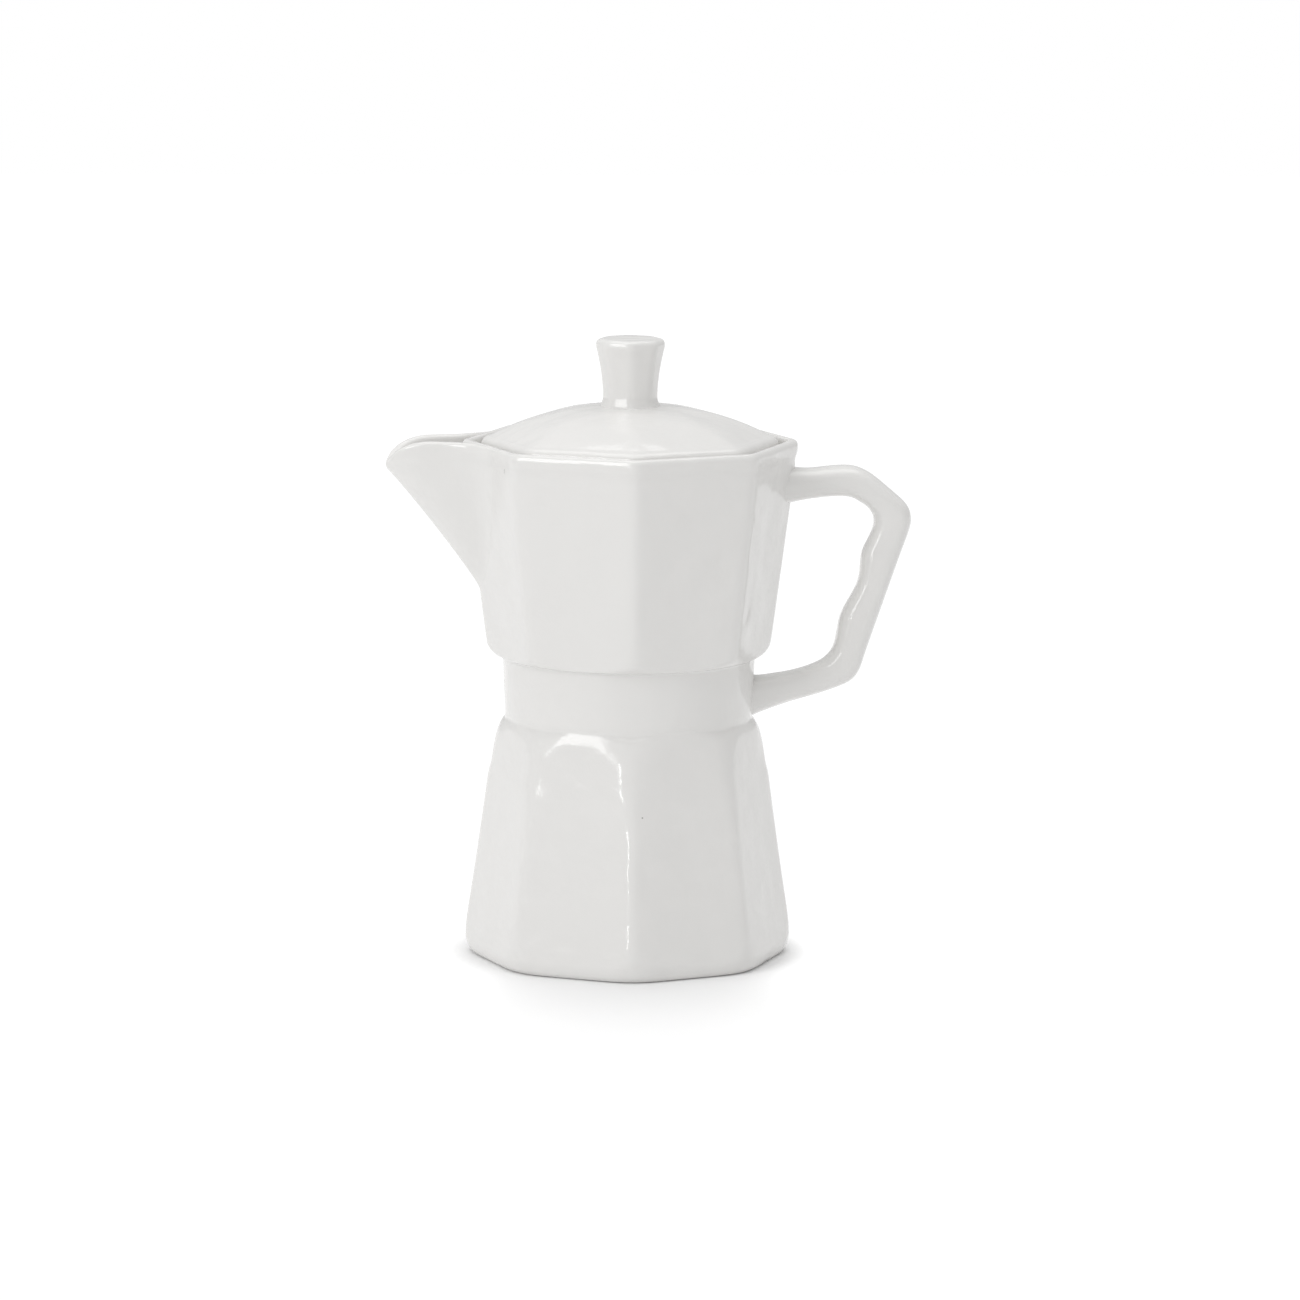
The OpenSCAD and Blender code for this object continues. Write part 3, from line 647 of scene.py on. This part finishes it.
TABLE_WHITE, TABLE_HALF = "#f6f6f6", 3000.0

table_white = new_material("white_tabletop")
ray = add_node(table_white, "ShaderNodeLightPath")
seen = add_node(table_white, "ShaderNodeMath", [("operation", "MAXIMUM")],
                [(0, ray.outputs["Is Camera Ray"]), (1, ray.outputs["Is Glossy Ray"])])
seen = add_node(table_white, "ShaderNodeMath", [("operation", "MAXIMUM")],
                [(0, seen.outputs[0]), (1, ray.outputs["Is Transmission Ray"])])
# the table keeps the soft shadow within 10 mm of the pot's sides, or 130 mm in front and behind,
# and turns to plain white further away: reach = 0.059 + 0.125 * (y / distance)^8, in metres
place = add_node(table_white, "ShaderNodeTexCoord")
away = add_node(table_white, "ShaderNodeVectorMath", [("operation", "LENGTH")],
                [(0, place.outputs["Object"])])
heading = add_node(table_white, "ShaderNodeVectorMath", [("operation", "NORMALIZE")],
                   [(0, place.outputs["Object"])])
heading = add_node(table_white, "ShaderNodeSeparateXYZ", (), [(0, heading.outputs[0])])
forward = add_node(table_white, "ShaderNodeMath", [("operation", "POWER"), (1, 8.0)],
                   [(0, heading.outputs["Y"])])
reach = add_node(table_white, "ShaderNodeMath",
                 [("operation", "MULTIPLY_ADD"), (1, 0.125), (2, 0.059)],
                 [(0, forward.outputs[0])])
plain = add_node(table_white, "ShaderNodeMapRange", [("From Min", 0.051)],
                 [("Value", away.outputs["Value"]), ("From Max", reach.outputs[0])])
faded = add_node(table_white, "ShaderNodeMath", [("operation", "MULTIPLY")],
                 [(0, seen.outputs[0]), (1, plain.outputs[0])])
matt = add_node(table_white, "ShaderNodeBsdfDiffuse", [("Color", colour(TABLE_WHITE))])
lit = add_node(table_white, "ShaderNodeEmission", [("Color", (1, 1, 1, 1)), ("Strength", 1.07)])
mixed = add_node(table_white, "ShaderNodeMixShader", (),
                 [(0, faded.outputs[0]), (1, matt.outputs[0]), (2, lit.outputs[0])])
add_node(table_white, "ShaderNodeOutputMaterial", (), [("Surface", mixed.outputs[0])])
table_corners = np.array([(-1, -1, 0), (1, -1, 0), (1, 1, 0), (-1, 1, 0)]) * TABLE_HALF
table = make_piece("tabletop", table_corners, [(0, 1, 2, 3)], table_white, None)

# the room is white to the eye, and lights the pot a little less than that
world = bpy.data.worlds.new("white_room")
bpy.context.scene.world = world
world.use_nodes = True
world.node_tree.nodes.clear()
ray = add_node(world, "ShaderNodeLightPath")
seen = add_node(world, "ShaderNodeMath", [("operation", "MAXIMUM")],
                [(0, ray.outputs["Is Camera Ray"]), (1, ray.outputs["Is Transmission Ray"])])
room = add_node(world, "ShaderNodeBackground", [("Color", (1, 1, 1, 1)), ("Strength", 0.625)])
white = add_node(world, "ShaderNodeBackground", [("Color", (1, 1, 1, 1)), ("Strength", 1.0)])
both = add_node(world, "ShaderNodeMixShader", (),
                [(0, seen.outputs[0]), (1, room.outputs[0]), (2, white.outputs[0])])
add_node(world, "ShaderNodeOutputWorld", (), [("Surface", both.outputs[0])])


def soft_lamp(name, place, aim, width, height, power):
    """A rectangular lamp at place, turned so that its -Z axis points at aim."""
    data = bpy.data.lights.new(name, "AREA")
    data.shape = "RECTANGLE"
    data.size, data.size_y, data.energy = width, height, power
    lamp = bpy.data.objects.new(name, data)
    towards = np.array(aim, float) - np.array(place, float)
    back = -towards / np.linalg.norm(towards)
    side = np.cross([0, 0, 1.0], back)
    side /= np.linalg.norm(side)
    up = np.cross(back, side)
    turn = np.eye(4)
    turn[:3, 0], turn[:3, 1], turn[:3, 2], turn[:3, 3] = side, up, back, place
    lamp.matrix_world = Matrix(turn.tolist())
    bpy.context.scene.collection.objects.link(lamp)
    return lamp


soft_lamp("window_left", (-0.93, -0.84, 0.705), (0, 0, 0.08), 0.52, 0.94, 4.1)
# the bright pane of the window and a strip by its frame show in the glaze and add no other light
pane = soft_lamp("window_pane", (-0.93, -0.84, 0.69), (0, 0, 0.08), 0.66, 0.94, 4.7)
strip = soft_lamp("window_strip", (-0.742, -1.187, 0.185), (0, 0, 0.185), 0.05, 0.11, 0.38)
pane.visible_diffuse = strip.visible_diffuse = False
soft_lamp("ceiling", (0, 0.1, 1.7), (0, 0, 0.1), 1.5, 1.5, 10)

# ---------------------------------------------------------------------------------------------
# The camera stands 1.9 m from the pot's axis and 0.41 m above the table, and looks down by 9
# degrees. The frame is 1300 pixels square, and its middle is 21 pixels beside the lens's axis.

FRAME_PIXELS, FOCAL_PIXELS, AXIS_PIXELS, SENSOR = 1300, 5967, -21.1, 36.0
CAMERA_BACK, CAMERA_HEIGHT = 1.9, 0.4113
AZIMUTH, PITCH, ROLL = np.radians([-2.12, 9.337, 0.307]).tolist()

camera_data = bpy.data.cameras.new("camera")
camera_data.sensor_width = SENSOR
camera_data.lens = FOCAL_PIXELS * SENSOR / FRAME_PIXELS
camera_data.shift_x = -AXIS_PIXELS / FRAME_PIXELS
camera_data.clip_end = 50
camera = bpy.data.objects.new("camera", camera_data)
bpy.context.scene.collection.objects.link(camera)
camera.matrix_world = (
    Matrix.Translation(
        (CAMERA_BACK * np.sin(AZIMUTH), -CAMERA_BACK * np.cos(AZIMUTH), CAMERA_HEIGHT))
    @ Matrix.Rotation(AZIMUTH, 4, "Z")
    @ Matrix.Rotation(np.pi / 2 - PITCH, 4, "X")
    @ Matrix.Rotation(ROLL, 4, "Z")
)
bpy.context.scene.camera = camera
bpy.context.scene.view_settings.view_transform = "Standard"
